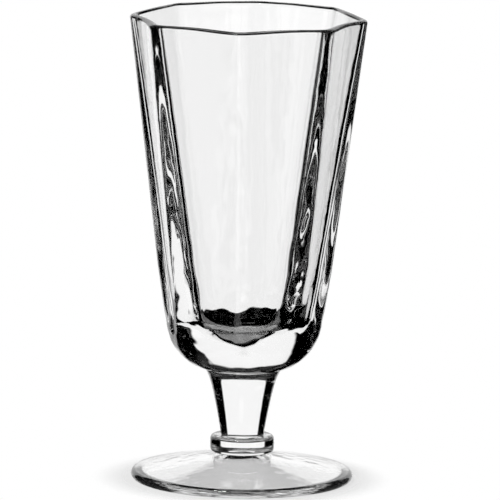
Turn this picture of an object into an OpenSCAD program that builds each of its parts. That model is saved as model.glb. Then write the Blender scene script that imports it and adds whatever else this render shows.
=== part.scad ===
// Stemmed shot glass: an eight-sided bowl with a thick base on a short stem, a collar and a round foot.
// Millimetres, +Z up. The origin is the centre of the foot's resting plane, and one ridge faces -Y.

/* [Bowl] */
// Height of the bowl, from the stem to the rim
bowl_h = 83.6; // [74:0.2:96]
// Number of flat panels round the bowl
panel_count = 8; // [6:1:12]
// Width of the mouth across two opposite panels, outside
rim_flats_w = 52.4; // [46:0.2:60]
// Outward lean of the outer panels, in degrees
panel_lean = 6.6; // [4:0.1:9]
// How far each outer ridge is blunted below a sharp edge
ridge_ease = 0.25; // [0.1:0.05:0.6]
// Wall thickness at the rim
rim_wall = 1.8; // [1.4:0.1:2.6]
// Bevel on the inner and outer edges of the rim
rim_ease = 0.5; // [0.2:0.1:0.6]
// Outward lean of the cavity's panels, in degrees
cavity_lean = 10.8; // [8:0.1:12]
// How far each corner of the cavity is rounded off
cavity_ease = 0.35; // [0.1:0.05:0.8]
// Thickness of solid glass from the stem to the cavity's floor
base_t = 7.6; // [5:0.2:14]
// Radius where the cavity's floor turns up into its walls
floor_round = 11; // [5:0.5:12]
// Height above the stem at which the ridges start
turn_h = 19.4; // [16:0.2:23]
// Outward lean of the plain band under the ridges, in degrees
band_lean = 11.3; // [9:0.1:14]
// Radius of the turn from that band to the stem
under_round = 12.1; // [10.5:0.1:14]

/* [Stem] */
// Height of the stem, from the collar to the bowl
stem_h = 15.8; // [10:0.2:30]
// Diameter where the stem meets the bowl
stem_top_d = 17.7; // [13:0.1:22]
// Diameter where the stem meets the collar
stem_foot_d = 10.1; // [8:0.1:11]
// Radius of the hollow curve down the side of the stem
stem_curve_r = 47; // [30:1:90]

/* [Collar] */
// Outer diameter of the collar
collar_d = 15.1; // [14.4:0.1:18]
// Height of the collar, which has a half-round edge
collar_h = 4.2; // [3:0.1:5]

/* [Foot] */
// Outer diameter of the foot
foot_d = 52.2; // [44:0.2:60]
// Height of the foot at the collar
foot_h = 6.4; // [5:0.1:8]
// Diameter of the flat seat under the collar
foot_seat_d = 13; // [11.5:0.1:16]
// Thickness of the foot's half-round edge
foot_edge_t = 1.9; // [1.4:0.1:2.4]
// Radius of the hollow curve down the top of the foot
foot_curve_r = 150; // [100:5:300]
// Width of the flat ring that the glass stands on
rest_ring_w = 1.6; // [1.2:0.1:4]
// Rise of the dished underside at the middle
dish_rise = 4.2; // [1:0.1:4.4]

/* [Hidden] */
$fn = 180;
long_arc_fn = 720; // steps round the large circles of the hollow curves
clear_glass = [0.90, 0.94, 0.95, 0.45];
past = 1; // how far a cut runs past the face that it opens
bevel_reach = 2 * rim_wall + past; // how far a slab that bevels the rim runs from the bevel's edge

// Heights of the fused faces and of the rim
collar_z = foot_h;
stem_z = collar_z + collar_h;
bowl_z = stem_z + stem_h;
rim_z = bowl_z + bowl_h;

// Panel geometry: half the angle of a panel, and how fast a ridge and a cavity corner draw in
half_panel = 180 / panel_count;
rim_apothem = rim_flats_w / 2;
cavity_apothem = rim_apothem - rim_wall;
ridge_slope = tan(panel_lean) / cos(half_panel);
corner_slope = tan(cavity_lean) / cos(half_panel);
rim_ridge_r = rim_apothem / cos(half_panel) - ridge_ease;
rim_corner_r = cavity_apothem / cos(half_panel) - cavity_ease;

// The round turn of the underside runs from the stem's top circle and ends along the plain band under the ridges
turn_z = bowl_z + turn_h;
stem_top_r = stem_top_d / 2;
ridge_start = [ridge_r(turn_z), turn_z];
stem_edge = [stem_top_r, bowl_z];
up_band = [sin(band_lean), cos(band_lean)];
off_band = [cos(band_lean), -sin(band_lean)];
rail = ridge_start - under_round * off_band;
rail_way = stem_edge - rail;
rail_offset = rail_way * off_band;
under_centre = rail + (rail_way * up_band + sqrt(under_round * under_round - rail_offset * rail_offset)) * up_band;
band_start = under_centre + under_round * off_band;

// Centre of the round at the edge of the cavity's floor, which leaves a little of the floor flat
floor_z = bowl_z + base_t;
least_flat_r = 0.5;
corner_angle = atan(corner_slope);
widest_round = (corner_r(floor_z) - least_flat_r) / (1 / cos(corner_angle) - corner_slope);
floor_turn = min(floor_round, widest_round);
round_z = floor_z + floor_turn;
round_r = corner_r(round_z) - floor_turn / cos(corner_angle);

// Centre line of the foot's half-round edge, and the ball that dishes the underside
foot_edge_r = foot_d / 2 - foot_edge_t / 2;
dish_edge_r = foot_edge_r - rest_ring_w;
dish_ball_r = (dish_edge_r * dish_edge_r + dish_rise * dish_rise) / (2 * dish_rise);

// Radius of the blunted ridges at height z
function ridge_r(z) = rim_ridge_r - (rim_z - z) * ridge_slope;

// Radius of the cavity's rounded corners at height z
function corner_r(z) = rim_corner_r - (rim_z - z) * corner_slope;

// Centre of the circle of radius r through a and b, on the left of the way from a to b
function arc_centre(a, b, r) =
    let (way = b - a, span = norm(way))
    (a + b) / 2 + sqrt(r * r - span * span / 4) * [-way[1], way[0]] / span;

// Slabs that lie outside a ring of flat panels, which stand apothem from the axis at the rim and lean outwards
module beyond_panels(apothem, lean, reach) {
    for (i = [0 : panel_count - 1])
        rotate([0, 0, half_panel + i * 360 / panel_count])
            translate([apothem, 0, rim_z])
                rotate([0, lean, 0])
                    translate([0, -rim_flats_w / 2, -reach])
                        cube([reach, rim_flats_w, 2 * reach]);
}

// Round blank of the bowl: a round turn and a plain band below, and a cone along the ridges above
module bowl_blank() {
    rotate_extrude() {
        polygon([[0, bowl_z], stem_edge, band_start, ridge_start, [rim_ridge_r, rim_z], [0, rim_z]]);
        intersection() {
            translate(under_centre)
                circle(r = under_round);
            translate([0, bowl_z])
                square([band_start[0], band_start[1] - bowl_z]);
        }
    }
}

// Round core of the cavity: a bowl-shaped floor that turns up into a cone along the corners
module cavity_core() {
    top_z = rim_z + past;
    touch = [round_r, round_z] + floor_turn * [cos(corner_angle), -sin(corner_angle)];
    rotate_extrude() {
        polygon([[0, floor_z], [round_r, floor_z], [round_r, round_z], touch, [corner_r(top_z), top_z], [0, top_z]]);
        translate([round_r, round_z])
            intersection() {
                circle(r = floor_turn);
                translate([0, -floor_turn])
                    square(floor_turn);
            }
    }
}

// Space for the drink, with its panels and the bevel inside the rim
module cavity() {
    difference() {
        cavity_core();
        beyond_panels(cavity_apothem, cavity_lean, rim_z);
    }
    difference() {
        translate([0, 0, rim_z - rim_ease])
            cylinder(r = rim_corner_r + rim_ease + past, h = rim_ease + past);
        beyond_panels(cavity_apothem + rim_ease, 45, bevel_reach);
    }
}

// Outside of the bowl, with its panels
module panelled_blank() {
    difference() {
        bowl_blank();
        beyond_panels(rim_apothem, panel_lean, rim_z);
    }
}

// Outside of the bowl, with the bevel outside the rim
module bowl_outside() {
    difference() {
        panelled_blank();
        beyond_panels(rim_apothem - rim_ease, -45, bevel_reach);
    }
}

module bowl() {
    color(clear_glass)
        difference() {
            bowl_outside();
            cavity();
        }
}

module stem() {
    top = [stem_top_r, bowl_z];
    bottom = [stem_foot_d / 2, stem_z];
    color(clear_glass)
        rotate_extrude()
            difference() {
                translate([0, stem_z])
                    square([stem_top_r + past, stem_h]);
                translate(arc_centre(top, bottom, stem_curve_r))
                    circle(r = stem_curve_r, $fn = long_arc_fn);
            }
}

module collar() {
    edge_r = collar_d / 2 - collar_h / 2;
    color(clear_glass)
        translate([0, 0, collar_z])
            rotate_extrude() {
                square([edge_r, collar_h]);
                translate([edge_r, collar_h / 2])
                    circle(d = collar_h);
            }
}

module foot() {
    seat = [foot_seat_d / 2, foot_h];
    edge = [foot_edge_r, foot_edge_t];
    color(clear_glass)
        rotate_extrude()
            union() {
                difference() {
                    square([foot_edge_r, foot_h]);
                    translate(arc_centre(seat, edge, foot_curve_r))
                        circle(r = foot_curve_r, $fn = long_arc_fn);
                    translate([0, dish_rise - dish_ball_r])
                        circle(r = dish_ball_r, $fn = long_arc_fn);
                }
                translate([foot_edge_r, foot_edge_t / 2])
                    circle(d = foot_edge_t);
            }
}

bowl();
stem();
collar();
foot();
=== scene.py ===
import bpy
import math
import numpy as np
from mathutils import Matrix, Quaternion, Vector


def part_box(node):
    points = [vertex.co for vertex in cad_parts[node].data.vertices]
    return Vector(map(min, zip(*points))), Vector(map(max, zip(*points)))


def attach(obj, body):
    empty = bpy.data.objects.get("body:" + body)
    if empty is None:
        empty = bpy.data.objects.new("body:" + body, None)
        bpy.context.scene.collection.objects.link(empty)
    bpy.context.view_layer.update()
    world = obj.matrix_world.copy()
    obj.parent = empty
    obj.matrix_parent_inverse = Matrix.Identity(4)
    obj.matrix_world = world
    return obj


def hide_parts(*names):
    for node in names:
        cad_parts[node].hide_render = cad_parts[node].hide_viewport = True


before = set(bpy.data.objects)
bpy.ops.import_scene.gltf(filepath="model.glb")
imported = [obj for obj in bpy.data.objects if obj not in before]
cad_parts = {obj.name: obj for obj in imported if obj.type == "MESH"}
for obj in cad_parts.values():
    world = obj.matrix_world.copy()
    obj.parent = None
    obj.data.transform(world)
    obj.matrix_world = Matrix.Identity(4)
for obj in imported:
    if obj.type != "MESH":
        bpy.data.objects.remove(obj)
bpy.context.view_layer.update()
scene = bpy.context.scene
mm = 0.001    # shapes are worked out in millimetres, and meshes are in metres

# Heights of the fused seams and the rim, and the widest radii, read from the frame
bowlLow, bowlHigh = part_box("bowl")
collarLow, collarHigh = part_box("collar")
rimZ = bowlHigh.z / mm
bowlZ = bowlLow.z / mm
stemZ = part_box("stem")[0].z / mm
collarZ = collarLow.z / mm
ridgeR = bowlHigh.x / mm
collarR = collarHigh.x / mm
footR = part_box("foot")[1].x / mm
print("frame read: rim at", round(rimZ, 2), "mm, bowl from", round(bowlZ, 2), "mm")

# Radii of the fused seams, where two pieces end on the same circle
bowlSeamR = 9.2       # bowl and stem
stemSeamR = 5.05      # stem and collar
collarSeamR = 5.0     # collar and foot

panelCount = 8
halfPanel = math.pi / panelCount    # half the angle of a panel
latheSteps = 192                    # steps round a turned piece


# The smooth curve 3t^2 - 2t^3, level at both ends.
def smooth(t):
    return t * t * (3.0 - 2.0 * t)


# Steps from first to last that crowd towards both ends: even steps, mixed with the smooth curve by a pull.
def crowded(first, last, count, pull):
    t = np.linspace(0.0, 1.0, count)
    return first + (last - first) * (t + pull * (smooth(t) - t))


# Angles round the bowl, with each panel's share of them crowded towards its two ridges.
def roundAngles(perPanel, pull):
    share = crowded(-halfPanel, halfPanel, perPanel + 1, pull)[:-1]
    centres = halfPanel + 2.0 * halfPanel * np.arange(panelCount)
    return (centres[:, None] + share[None, :]).ravel()


# Angle from the nearest ridge: what is left over after whole panels, up to half a panel either way.
def fromRidge(theta):
    return np.mod(theta + halfPanel, 2.0 * halfPanel) - halfPanel


# Radius of a hollow panel at an angle phi from its middle, as a share of a flat panel's least radius: one
# less a parabola, which is hollow deep at the middle and nothing at the ridges, over the cosine.
def hollowLine(phi, hollow):
    return (1.0 - hollow * (1.0 - (np.tan(phi) / np.tan(halfPanel)) ** 2)) / np.cos(phi)


# Radius of a ring of hollow panels whose ridges stand at a given radius. The angle from the nearest ridge
# goes through a square root of squares, which rounds the ridge over the width ease, and the line is scaled
# to the ridge.
def panelRadius(theta, ridge, ease, sag):
    rounded = np.sqrt(fromRidge(theta) ** 2 + (ease / ridge) ** 2)
    hollow = sag / (ridge * np.cos(halfPanel))
    return ridge * hollowLine(halfPanel - rounded, hollow) / hollowLine(halfPanel - ease / ridge, hollow)


# The lesser of a and b with the crossing rounded over a width: the two blend as a parabola where they
# differ by less than that width.
def softLesser(a, b, width):
    h = np.clip(0.5 + 0.5 * (b - a) / width, 0.0, 1.0)
    return b * (1.0 - h) + a * h - width * h * (1.0 - h)


# Rings of a turned piece: the radius and height of each point of its profile, the same all round.
def turned(r, z, theta):
    ones = np.ones((1, len(theta)))
    return r[:, None] * ones, z[:, None] * ones, theta[None, :]


# Points of rings given as radius, height and angle, each row one ring: x is the radius times the cosine of
# the angle, and y is the radius times its sine.
def ringPoints(radius, height, angle):
    return np.stack([radius * np.cos(angle), radius * np.sin(angle), height], axis=2).reshape(-1, 3)


# Faces between neighbouring rings: a point and the next one round, then the same two on the ring after it.
def ringQuads(rows, cols):
    ring = np.arange(cols)
    after = np.roll(ring, -1)
    base = (np.arange(rows - 1) * cols)[:, None]
    corners = [base + ring, base + after, base + cols + after, base + cols + ring]
    return np.stack(corners, axis=2).reshape(-1, 4)


# Faces of a fan: a pole with each point of the ring that starts at first, and the next point round.
def ringFan(pole, first, cols):
    ring = first + np.arange(cols)
    return np.stack([np.full(cols, pole), ring, np.roll(ring, -1)], axis=1)


# Object whose mesh has the points, scaled from millimetres to metres, and the groups of faces, one after
# another.
def meshObject(name, points, *faceGroups):
    mesh = bpy.data.meshes.new(name)
    mesh.from_pydata((points * mm).tolist(), [], sum((group.tolist() for group in faceGroups), []))
    mesh.update()
    shown = bpy.data.objects.new(name, mesh)
    scene.collection.objects.link(shown)
    return shown


# Closed piece from rings of points, ended by a fan to a point on the axis at each end, at the mean height
# of the end ring. The fan of a fused seam gets the second material and a sharp edge.
def ringPiece(name, radius, height, angle, lowSeam, highSeam):
    rows, cols = radius.shape
    poles = np.array([[0.0, 0.0, height[0].mean()], [0.0, 0.0, height[-1].mean()]])
    points = np.concatenate([ringPoints(radius, height, angle), poles])
    lowPole = rows * cols
    top = lowPole - cols
    quads = ringQuads(rows, cols)
    lowFan = ringFan(lowPole, 0, cols)[:, ::-1]    # turned over, so that it faces outwards
    highFan = ringFan(lowPole + 1, top, cols)
    piece = meshObject(name, points, quads, lowFan, highFan)
    mesh = piece.data
    ends = np.zeros(len(mesh.edges) * 2, np.int32)
    mesh.edges.foreach_get("vertices", ends)
    ends = ends.reshape(-1, 2)
    sharp = np.zeros(len(mesh.edges), bool)
    slots = np.zeros(len(mesh.polygons), np.int32)
    if lowSeam:
        slots[len(quads):len(quads) + cols] = 1
        sharp |= (ends < cols).all(axis=1)
    if highSeam:
        slots[len(quads) + cols:] = 1
        sharp |= ((ends >= top) & (ends < lowPole)).all(axis=1)
    mesh.polygons.foreach_set("material_index", slots)
    mesh.polygons.foreach_set("use_smooth", np.ones(len(mesh.polygons), bool))
    mesh.edges.foreach_set("use_edge_sharp", sharp)
    mesh.update()
    return piece


bowlShape = {
    "ridgeSlope": 0.1252,     # how fast a ridge draws in, going down
    "ridgeEase": 1.8,         # how wide each outer ridge is rounded
    "panelSag": 1.0,          # how hollow a panel is at the rim
    "frontRidge": 135.0,      # degrees round to the front ridge
    "spread": 3.6,            # degrees that the outer ridges beside the front one stand further from it
    "spreadLow": 38.0,        # heights between which that spread grows
    "spreadHigh": 55.0,
    "rimRound": 0.85,         # height of the rounded rim
    "rimDip": 0.18,           # how far the rim dips at the ridges
    "dipH": 12.0,             # how far below the rim that dip has run out
    "cornerR": 26.1,          # radius of the cavity's corners at the rim
    "cornerSlope": 0.2065,    # how fast a corner draws in, going down
    "cornerEase": 1.4,        # how wide each corner of the cavity is rounded at the rim
    "cornerEaseLow": 3.2,     # and at its floor
    "cavitySag": 0.6,         # how hollow a panel of the cavity is
    "fadeZ": 37.7,            # where the round underside ends
    "fadeSlope": 0.2,         # lean of the cone above it, into which the ridges run out
    "underRound": 12.1,       # radius of the round underside, and the centre of its circle
    "underCentreR": 6.4,
    "underCentreZ": 38.7,
    "underBlend": 0.6,        # width over which panels melt into the underside
    "floorZ": 33.8,           # height of the cavity's floor at the axis
    "floorWide": 12.3,        # radius of the bowl-shaped floor where it has risen by floorDeep
    "floorDeep": 5.0,
    "floorPower": 1.5,        # power of the radius by which the floor rises
    "floorBlend": 2.0,        # width over which the floor melts into the panels
    "calmR": 6.0,             # radius of the floor inside which its ripples die out
    "closeH": 14.0,           # height above the floor to which the cavity's rings lie closer
    "underCrowd": 1.7,        # power that crowds the underside's rings towards the seam
    "underRows": 70,
    "wallRows": 90,
    "rimRows": 14,
    "cavityRows": 70,
    "floorRows": 60,
    "perPanel": 30,           # steps across a panel, and how far they crowd towards its ridges
    "crowd": 0.75,
}

rippleShape = {
    "low": 0.08,              # height of the ripples near the floor of the bowl
    "high": 0.012,            # height of the ripples near the rim
    "fadeH": 14.0,            # how slowly they calm down, going up
    "outPhase": 0.0,          # radians that the waves' phases count from, outside
    "inPhase": 1.3,           # and inside
    "phaseStep": 2.4,         # radians added for each wave, the first one too
    # length up the wall, turns round the bowl and share of each wave
    "waves": [(3.1, 3, 0.3), (4.7, -2, 0.2), (7.9, 14, 0.25), (13.0, -18, 0.5)],
}


# Ripples that the mould leaves on the glass: a sum of sine waves that climb the wall and lean round it,
# highest near the floor and calmer by an exponential above it.
def ripple(s, theta, z, phase):
    near = np.exp(-np.maximum(z - bowlShape["floorZ"], 0.0) / s["fadeH"])
    total = 0.0
    for length, turns, share in s["waves"]:
        phase = phase + s["phaseStep"]
        total = total + share * np.sin(2.0 * math.pi * z / length + turns * theta + phase)
    return (s["high"] + (s["low"] - s["high"]) * near) * total


# Outside of the bowl, from the seam up. The radius is the soft lesser of the hollow panels and of a circle
# that runs on upwards as a cone, plus the ripples and less their height. The circle's heights are stretched
# so that it ends on the seam.
def bowlOutside(s, theta):
    inset = bowlSeamR - s["underCentreR"]
    lowest = s["underCentreZ"] - math.sqrt(s["underRound"] ** 2 - inset ** 2)
    rise = np.linspace(0.0, 1.0, s["underRows"]) ** s["underCrowd"]
    underZ = lowest + (s["fadeZ"] - lowest) * rise
    underR = s["underCentreR"] + np.sqrt(s["underRound"] ** 2 - (s["underCentreZ"] - underZ) ** 2)
    wallZ = np.linspace(s["fadeZ"], rimZ - s["rimRound"], s["wallRows"])[1:]
    limitR = np.concatenate([underR, underR[-1] + s["fadeSlope"] * (wallZ - s["fadeZ"])])
    stretchedZ = underZ + (bowlZ - lowest) * (s["fadeZ"] - underZ) / (s["fadeZ"] - lowest)
    z = np.concatenate([stretchedZ, wallZ])
    ridge = ridgeR - s["ridgeSlope"] * (rimZ - z)
    sag = s["panelSag"] * ridge / ridgeR
    panelR = panelRadius(theta[None, :], ridge[:, None], s["ridgeEase"], sag[:, None])
    r = softLesser(panelR, limitR[:, None], s["underBlend"])
    r = r + ripple(rippleShape, theta[None, :], z[:, None], rippleShape["outPhase"]) - rippleShape["low"]
    r[0] = bowlSeamR
    return r, z


# Cavity of the bowl, from the rim down, with rings closer by a square near the floor. The radius is the
# soft lesser of the hollow panels and of a floor whose radius is a root of the height above it, plus the
# ripples, which die out towards the middle of the floor.
def bowlCavity(s, theta):
    wallZ = np.linspace(rimZ - s["rimRound"], s["floorZ"] + s["closeH"], s["cavityRows"])
    closeZ = s["floorZ"] + s["closeH"] * np.linspace(1.0, 0.0, s["floorRows"])[1:-1] ** 2
    z = np.concatenate([wallZ, closeZ])
    floorR = s["floorWide"] * ((z - s["floorZ"]) / s["floorDeep"]) ** (1.0 / s["floorPower"])
    corner = s["cornerR"] - s["cornerSlope"] * (rimZ - z)
    up = (z - s["floorZ"]) / (rimZ - s["floorZ"])
    ease = s["cornerEaseLow"] + (s["cornerEase"] - s["cornerEaseLow"]) * up
    wallR = panelRadius(theta[None, :], corner[:, None], ease[:, None], s["cavitySag"])
    r = softLesser(wallR, floorR[:, None], np.minimum(s["floorBlend"], floorR)[:, None])
    calm = np.minimum(1.0, floorR[:, None] / s["calmR"])
    return r + calm * ripple(rippleShape, theta[None, :], z[:, None], rippleShape["inPhase"]), z


# Bowl: rings up the outside, over the rim as half an ellipse and down the cavity. The rim dips at the
# ridges by a cosine, which fades below it as a square. The outer ridges are shifted round by two sines of
# the angle from the front one, which move its neighbours away from it and the back one's neighbours towards
# that one.
def bowlRings(s, theta):
    outR, outZ = bowlOutside(s, theta)
    inR, inZ = bowlCavity(s, theta)
    over = np.linspace(0.0, math.pi, s["rimRows"])[1:-1]
    middle = 0.5 * (outR[-1] + inR[0])
    half = 0.5 * (outR[-1] - inR[0])
    overR = middle[None, :] + half[None, :] * np.cos(over)[:, None]
    overZ = rimZ - s["rimRound"] + s["rimRound"] * np.sin(over)
    radius = np.concatenate([outR, overR, inR])
    z = np.concatenate([outZ, overZ, inZ])
    dip = s["rimDip"] * (0.5 + 0.5 * np.cos(fromRidge(theta) * panelCount))
    nearRim = np.clip((z - rimZ + s["dipH"]) / s["dipH"], 0.0, 1.0) ** 2
    height = z[:, None] - nearRim[:, None] * dip[None, :]
    u = theta - math.radians(s["frontRidge"])
    shift = math.radians(s["spread"]) * (np.sin(u) + np.sin(3.0 * u)) / math.sqrt(2.0)
    grown = smooth(np.clip((outZ - s["spreadLow"]) / (s["spreadHigh"] - s["spreadLow"]), 0.0, 1.0))
    share = np.concatenate([grown, 0.5 + 0.5 * np.cos(over), np.zeros(len(inZ))])
    return radius, height, theta[None, :] + share[:, None] * shift[None, :]


bowlAngles = roundAngles(bowlShape["perPanel"], bowlShape["crowd"])
bowl = ringPiece("glass_bowl", *bowlRings(bowlShape, bowlAngles), True, False)
print("bowl made:", len(bowl.data.polygons), "faces")

stemShape = {
    "curveR": 200.0,          # radius of the hollow curve down its side
    "flare": 0.9,             # how far it flares out at the bowl
    "flareH": 1.5,            # how slowly the flare dies out, going down
    "rows": 70,
}


# Stem: rings along one hollow arc up from the collar's seam, which a flare, an exponential of the height,
# carries out to the bowl's seam. The heights go by a sine, which crowds them towards the bowl.
def stemRings(s, theta):
    low = np.array([stemSeamR, stemZ])
    high = np.array([bowlSeamR - s["flare"], bowlZ])
    way = high - low
    span = np.linalg.norm(way)
    side = np.array([way[1], -way[0]]) / span
    centre = 0.5 * (low + high) + side * math.sqrt(s["curveR"] ** 2 - 0.25 * span ** 2)
    z = stemZ + (bowlZ - stemZ) * np.sin(np.linspace(0.0, 0.5 * math.pi, s["rows"]))
    r = centre[0] - np.sqrt(s["curveR"] ** 2 - (z - centre[1]) ** 2)
    return turned(r + s["flare"] * np.exp((z - bowlZ) / s["flareH"]), z, theta)


latheAngles = np.linspace(0.0, 2.0 * math.pi, latheSteps, endpoint=False)
stem = ringPiece("glass_stem", *stemRings(stemShape, latheAngles), True, True)

collarShape = {
    "square": 0.45,           # power that shapes its edge: 1 is a plain ellipse, and less is squarer
    "rows": 129,
}


# Collar: rings along half a squared-off ellipse. The height goes by a power of the cosine of an angle, and
# the radius swells from the seams' by the same power of its sine.
def collarRings(s, theta):
    t = np.linspace(0.0, math.pi, s["rows"])
    down = np.sign(np.cos(t)) * np.abs(np.cos(t)) ** s["square"]
    z = 0.5 * (collarZ + stemZ) - 0.5 * (stemZ - collarZ) * down
    seamR = collarSeamR + (stemSeamR - collarSeamR) * (z - collarZ) / (stemZ - collarZ)
    swell = np.maximum(np.sin(t), 0.0) ** s["square"]
    return turned(seamR + (collarR - seamR) * swell, z, theta)


collar = ringPiece("glass_collar", *collarRings(collarShape, latheAngles), True, True)

footShape = {
    "edgeT": 2.2,             # thickness of its half-round edge
    "ringW": 2.0,             # width of the flat ring that the glass stands on
    "dishRise": 4.8,          # rise of the conical dish to its tip
    "dishCap": 4.2,           # height at which that tip is cut off
    "capBlend": 0.8,          # width over which the cut is rounded
    "dishRows": 60,
    "ringRows": 8,
    "edgeRows": 25,
    "topRows": 60,
}


# Foot: rings out along the dish, the soft lesser of a cone and a flat cap, over the flat ring that it stands
# on, round the edge on half a circle and up a straight slope to the collar's seam.
def footRings(s, theta):
    edgeR = footR - 0.5 * s["edgeT"]
    dishR = edgeR - s["ringW"]
    inR = np.linspace(0.0, dishR, s["dishRows"])[1:]
    inZ = softLesser(s["dishRise"] * (1.0 - inR / dishR), np.full(len(inR), s["dishCap"]), s["capBlend"])
    ringR = np.linspace(dishR, edgeR, s["ringRows"])[1:]
    turn = np.linspace(0.0, math.pi, s["edgeRows"])[1:]
    turnR = edgeR + 0.5 * s["edgeT"] * np.sin(turn)
    turnZ = 0.5 * s["edgeT"] * (1.0 - np.cos(turn))
    topR = np.linspace(edgeR, collarSeamR, s["topRows"])[1:]
    topZ = s["edgeT"] + (collarZ - s["edgeT"]) * (edgeR - topR) / (edgeR - collarSeamR)
    r = np.concatenate([inR, ringR, turnR, topR])
    z = np.concatenate([inZ, np.zeros(len(ringR)), turnZ, topZ])
    return turned(r, z, theta)


foot = ringPiece("glass_foot", *footRings(footShape, latheAngles), False, True)
print("stem, collar and foot made")

glassFinish = {
    "ior": 1.5,
    "hazeSize": 9.0,          # mm across a patch of haze
    "hazeDetail": 3.0,
    "hazeSpan": (0.35, 0.65),    # part of the noise that goes from clearest to haziest
    "clearest": 0.005,        # roughness where the glass is clearest
    "haziest": 0.04,          # and in the middle of a patch of haze
    "wearTop": 0.3,           # mm up from the table to which the resting ring is scuffed
    "wearRough": 0.2,         # roughness of a scuff
    "scuffSize": 0.6,         # mm across a scuff
    "scuffDetail": 4.0,
    "scuffSpan": (0.4, 0.6),  # part of the noise that goes from clear to scuffed
    "dimpleSize": 4.0,        # mm across a dimple that fire-polishing leaves on the skin
    "dimpleDetail": 1.0,
    "dimpleDeep": 0.045,      # mm
}


# Noise over the surface on Object coordinates, with features of a given size in mm: its scale is one over
# the size.
def surfaceNoise(tree, place, size, detail):
    noise = tree.nodes.new("ShaderNodeTexNoise")
    noise.inputs["Scale"].default_value = 1.0 / (size * mm)
    noise.inputs["Detail"].default_value = detail
    tree.links.new(place, noise.inputs["Vector"])
    return noise.outputs["Fac"]


# A value carried from one range to another, in a straight line or along the smooth curve, and held at the
# ends.
def carried(tree, source, fromRange, toRange, curve="LINEAR"):
    step = tree.nodes.new("ShaderNodeMapRange")
    step.interpolation_type = curve
    tree.links.new(source, step.inputs["Value"])
    for name, value in zip(("From Min", "From Max", "To Min", "To Max"), fromRange + toRange):
        step.inputs[name].default_value = value
    return step.outputs["Result"]


# The outcome of one arithmetic step on two values.
def combined(tree, operation, first, second):
    node = tree.nodes.new("ShaderNodeMath")
    node.operation = operation
    tree.links.new(first, node.inputs[0])
    tree.links.new(second, node.inputs[1])
    return node.outputs[0]


# One step of vector arithmetic on a vector and, where the operation takes one, a fixed vector.
def vectorStep(tree, operation, source, fixed=(0.0, 0.0, 0.0)):
    node = tree.nodes.new("ShaderNodeVectorMath")
    node.operation = operation
    tree.links.new(source, node.inputs[0])
    node.inputs[1].default_value = fixed
    return node


# Clear glass: a Principled shader with full transmission. Its roughness is a noise of haze, or the scuffs
# on the ring that it stands on where they are rougher, and its bump is a noise of shallow dimples.
def clearGlass(s):
    material = bpy.data.materials.new("clear_glass")
    material.use_nodes = True
    tree = material.node_tree
    shader = tree.nodes["Principled BSDF"]
    shader.inputs["Base Color"].default_value = (1.0, 1.0, 1.0, 1.0)
    shader.inputs["IOR"].default_value = s["ior"]
    shader.inputs["Transmission Weight"].default_value = 1.0
    place = tree.nodes.new("ShaderNodeTexCoord").outputs["Object"]
    split = tree.nodes.new("ShaderNodeSeparateXYZ")
    tree.links.new(place, split.inputs[0])
    hazeNoise = surfaceNoise(tree, place, s["hazeSize"], s["hazeDetail"])
    haze = carried(tree, hazeNoise, s["hazeSpan"], (s["clearest"], s["haziest"]))
    low = carried(tree, split.outputs["Z"], (0.0, s["wearTop"] * mm), (1.0, 0.0))
    scuffNoise = surfaceNoise(tree, place, s["scuffSize"], s["scuffDetail"])
    scuffs = carried(tree, scuffNoise, s["scuffSpan"], (0.0, s["wearRough"]))
    rough = combined(tree, "MAXIMUM", haze, combined(tree, "MULTIPLY", low, scuffs))
    tree.links.new(rough, shader.inputs["Roughness"])
    bump = tree.nodes.new("ShaderNodeBump")
    bump.inputs["Distance"].default_value = s["dimpleDeep"] * mm
    dimples = surfaceNoise(tree, place, s["dimpleSize"], s["dimpleDetail"])
    tree.links.new(dimples, bump.inputs["Height"])
    tree.links.new(bump.outputs["Normal"], shader.inputs["Normal"])
    return material


# Fused seam: a Principled shader with no alpha. The glass runs on through it, so nothing of it shows.
def fusedSeam():
    material = bpy.data.materials.new("fused_seam")
    material.use_nodes = True
    shader = material.node_tree.nodes["Principled BSDF"]
    shader.inputs["Alpha"].default_value = 0.0
    return material


glass = clearGlass(glassFinish)
seam = fusedSeam()
for piece, node in ((bowl, "bowl"), (stem, "stem"), (collar, "collar"), (foot, "foot")):
    piece.data.materials.append(glass)
    piece.data.materials.append(seam)
    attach(piece, "root")
    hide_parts(node)
print("glass dressed")

photoView = {
    "azimuth": 230.0,         # degrees
    "elevation": 9.45,
    "distance": 2.0,          # metres along the floor
    "lens": 622.0,            # focal length in mm
    "aimZ": 54.5,             # mm up to the point in the middle of the picture
    "aimRight": 1.15,         # mm from the axis to it, to the right in the picture
    "roll": 0.9,              # degrees
}


# Way from the glass to a place at an azimuth and an elevation in degrees: sines and cosines of both, on a
# unit sphere. Azimuth 0 is in front, at -Y, and 90 is on the right.
def wayTo(azimuth, elevation):
    a = math.radians(azimuth)
    e = math.radians(elevation)
    return Vector((math.sin(a) * math.cos(e), -math.cos(a) * math.cos(e), math.sin(e)))


# Camera out from the aim point by its distance along the floor over the cosine of the elevation, turned to
# look back at that point and then rolled.
def makeCamera(s):
    back = wayTo(s["azimuth"], s["elevation"])
    right = wayTo(s["azimuth"] + 90.0, 0.0)
    aim = right * s["aimRight"] * mm + Vector((0.0, 0.0, s["aimZ"] * mm))
    data = bpy.data.cameras.new("camera")
    data.lens = s["lens"]
    camera = bpy.data.objects.new("camera", data)
    camera.location = aim + back * (s["distance"] / math.cos(math.radians(s["elevation"])))
    camera.rotation_mode = "QUATERNION"
    roll = Quaternion((0.0, 0.0, 1.0), math.radians(s["roll"]))
    camera.rotation_quaternion = (-back).to_track_quat("-Z", "Y") @ roll
    scene.collection.objects.link(camera)
    scene.camera = camera


makeCamera(photoView)

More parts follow.
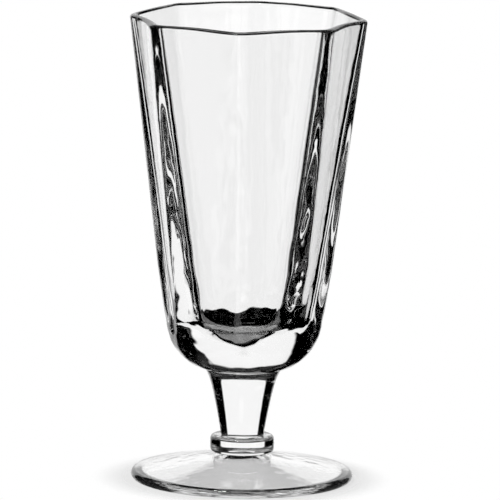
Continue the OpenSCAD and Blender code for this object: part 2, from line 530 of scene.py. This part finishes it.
studio = {
    "below": 0.36,            # brightness of the pale ground far below
    "belowEl": -52.0,         # elevation in degrees at which that ground begins
    "belowSoft": 5.0,         # degrees either way over which it begins
    "panelSoft": 1.5,         # degrees either way over which a panel's edges ease
    # azimuth of the middle, half width, lowest and highest elevation of each white panel, in degrees
    "panels": [
        (51.0, 32.0, -25.5, 28.0),
        (180.0, 10.0, -11.0, 12.0),
        (225.0, 10.0, -36.0, -12.0),
        (270.0, 10.0, -11.0, 12.0),
    ],
}


# Sines of the elevations that lie a few degrees, soft, below and above a given one.
def softSines(elevation, soft):
    return math.sin(math.radians(elevation - soft)), math.sin(math.radians(elevation + soft))


# One white panel of the studio: 1 where a ray's azimuth and elevation fall inside it, easing to 0 at its
# edges. It is the product of three smooth steps, on the cosine from its middle and on the sine of the
# elevation.
def panelMask(tree, level, up, panel, soft):
    azimuth, half, lowest, highest = panel
    facing = vectorStep(tree, "DOT_PRODUCT", level, wayTo(azimuth, 0.0)).outputs["Value"]
    sides = (math.cos(math.radians(half + soft)), math.cos(math.radians(half - soft)))
    across = carried(tree, facing, sides, (0.0, 1.0), "SMOOTHSTEP")
    above = carried(tree, up, softSines(lowest, soft), (0.0, 1.0), "SMOOTHSTEP")
    under = carried(tree, up, softSines(highest, soft), (1.0, 0.0), "SMOOTHSTEP")
    return combined(tree, "MULTIPLY", combined(tree, "MULTIPLY", across, above), under)


# World: black, with white panels and a dim pale ground far below. Its brightness is the greatest of their
# masks, which read a ray's level direction and the sine of its elevation.
def makeWorld(s):
    world = bpy.data.worlds.new("studio")
    scene.world = world
    world.use_nodes = True
    tree = world.node_tree
    way = tree.nodes.new("ShaderNodeTexCoord").outputs["Generated"]
    flat = vectorStep(tree, "MULTIPLY", way, (1.0, 1.0, 0.0)).outputs["Vector"]
    level = vectorStep(tree, "NORMALIZE", flat).outputs["Vector"]
    split = tree.nodes.new("ShaderNodeSeparateXYZ")
    tree.links.new(way, split.inputs[0])
    up = split.outputs["Z"]
    ground = softSines(s["belowEl"], s["belowSoft"])
    bright = carried(tree, up, ground, (s["below"], 0.0), "SMOOTHSTEP")
    for panel in s["panels"]:
        bright = combined(tree, "MAXIMUM", bright, panelMask(tree, level, up, panel, s["panelSoft"]))
    background = tree.nodes["Background"]
    tree.links.new(bright, background.inputs["Color"])
    background.inputs["Strength"].default_value = 1.0


makeWorld(studio)

# Pale floor disc whose alpha paints a soft grey halo of shade round the foot; the lamp's shadow on it is
# real.
floorShape = {
    "solid": 26.0,            # radius to which the floor keeps its full weight
    "fade": 36.0,             # and at which it has faded out
    "shadeHaloAlpha": 0.3,            # alpha of the full floor
    "tone": 0.9,              # pale grey
    "drop": 0.02,             # how far it lies below the foot
    "rows": 25,
    "cols": 96,
}


# Floor: a level disc of rings from its edge to a fan at the middle. Its alpha fades along the smooth curve
# of the distance from the axis, which paints a soft grey halo of shade round the foot over the white ground
# behind it; the lamp's real shadow falls on the disc as well.
def makeFloor(s):
    theta = np.linspace(0.0, 2.0 * math.pi, s["cols"], endpoint=False)
    r = np.linspace(s["fade"], 0.0, s["rows"])[:-1]
    points = ringPoints(*turned(r, np.full(len(r), -s["drop"]), theta))
    pole = len(points)
    points = np.concatenate([points, [[0.0, 0.0, -s["drop"]]]])
    fan = ringFan(pole, pole - s["cols"], s["cols"])
    floor = meshObject("floor", points, ringQuads(len(r), s["cols"]), fan)
    material = bpy.data.materials.new("floor")
    material.use_nodes = True
    tree = material.node_tree
    shader = tree.nodes["Principled BSDF"]
    shader.inputs["Base Color"].default_value = (s["tone"], s["tone"], s["tone"], 1.0)
    shader.inputs["Roughness"].default_value = 1.0
    shader.inputs["Specular IOR Level"].default_value = 0.0
    place = tree.nodes.new("ShaderNodeTexCoord").outputs["Object"]
    away = vectorStep(tree, "LENGTH", place).outputs["Value"]
    edge = (s["solid"] * mm, s["fade"] * mm)
    # The fading alpha paints shade: a soft grey halo round the foot, darker than the white ground behind it.
    tree.links.new(carried(tree, away, edge, (s["shadeHaloAlpha"], 0.0), "SMOOTHSTEP"), shader.inputs["Alpha"])
    floor.data.materials.append(material)


makeFloor(floorShape)

softLamp = {
    "azimuth": 200.0,         # degrees
    "elevation": 55.0,
    "distance": 1.2,          # metres
    "size": 0.3,              # metres across
    "watts": 5.0,
}


# Lamp: a round area lamp on a sphere round the foot, turned to face it.
def makeLamp(s):
    out = wayTo(s["azimuth"], s["elevation"])
    data = bpy.data.lights.new("soft_lamp", "AREA")
    data.shape = "DISK"
    data.size = s["size"]
    data.energy = s["watts"]
    lamp = bpy.data.objects.new("soft_lamp", data)
    lamp.location = out * s["distance"]
    lamp.rotation_mode = "QUATERNION"
    lamp.rotation_quaternion = out.to_track_quat("Z", "Y")
    scene.collection.objects.link(lamp)


makeLamp(softLamp)

scene.view_settings.view_transform = "Standard"
scene.cycles.max_bounces = 24    # light crosses many faces inside the glass
scene.cycles.transmission_bounces = 24
scene.cycles.transparent_max_bounces = 24
scene.cycles.glossy_bounces = 12
scene.cycles.sample_clamp_indirect = 1.2    # keeps white specks of the lamp out of the thick glass
print("camera, studio, floor and lamp made")
